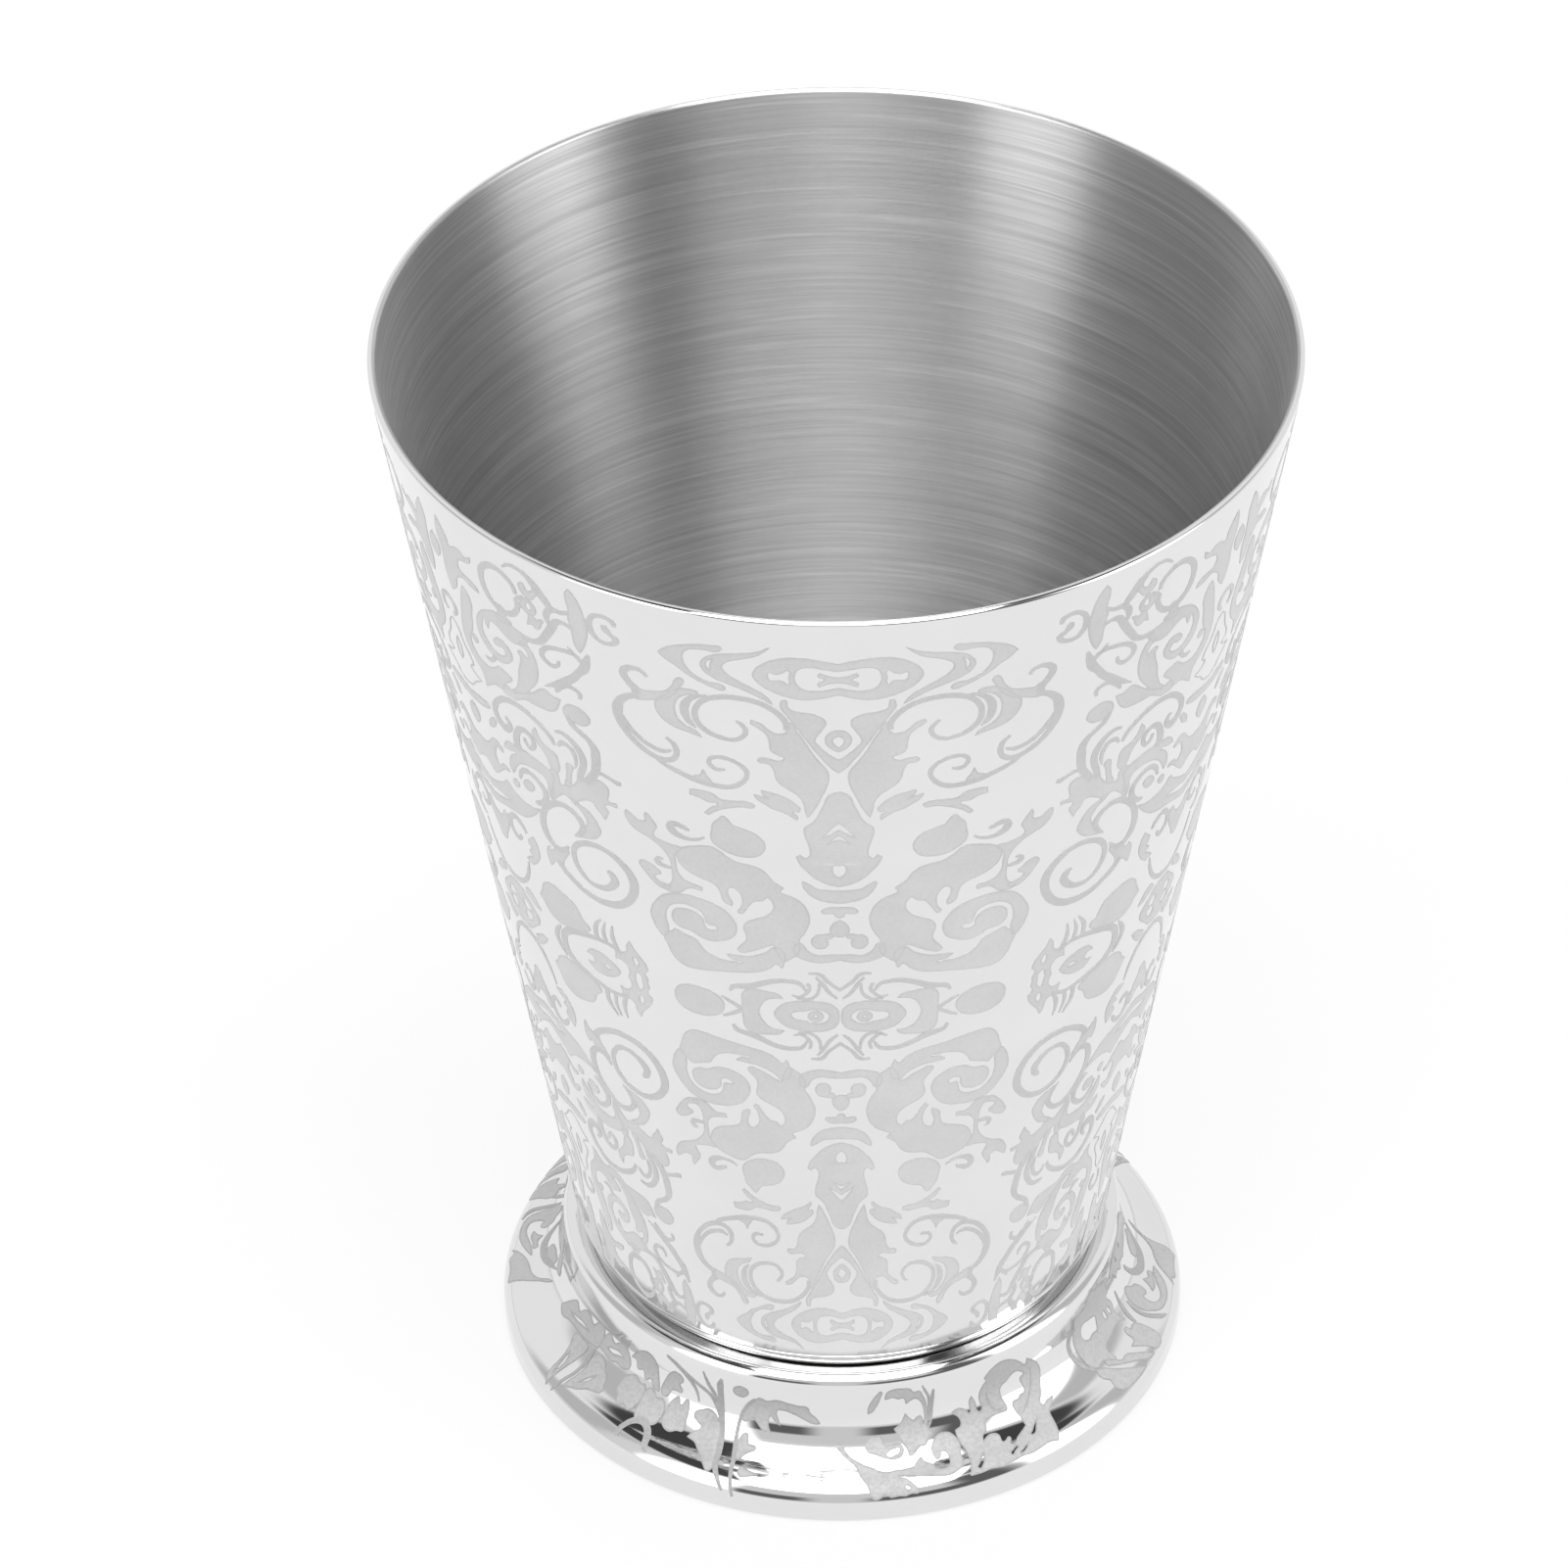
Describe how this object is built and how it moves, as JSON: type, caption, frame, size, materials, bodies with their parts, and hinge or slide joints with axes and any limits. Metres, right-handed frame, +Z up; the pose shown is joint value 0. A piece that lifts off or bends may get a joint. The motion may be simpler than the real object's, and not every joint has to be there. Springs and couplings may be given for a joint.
{
  "type": "footed julep cup",
  "caption": "Tapered round drinking cup in stainless steel with a thin rounded lip, on a hollow moulded foot, for holding a cold drink.",
  "frame": {"origin": "centre of the ring that the cup stands on, at table height", "axes": "+Z up along the cup's axis; the part is round, so X and Y are free"},
  "size_m": [0.0888, 0.0888, 0.1195],
  "materials": {
    "polished_steel": "polished outside with an etched matt ornament, brushed round inside the cup",
    "braze_filler": "dull as brazed",
    "brushed_steel": "brushed round"
  },
  "bodies": {
    "root": {"cup_body": "polished_steel", "foot_shell": "polished_steel", "braze_ring": "braze_filler", "base_plate": "brushed_steel"}
  },
  "joints": []
}
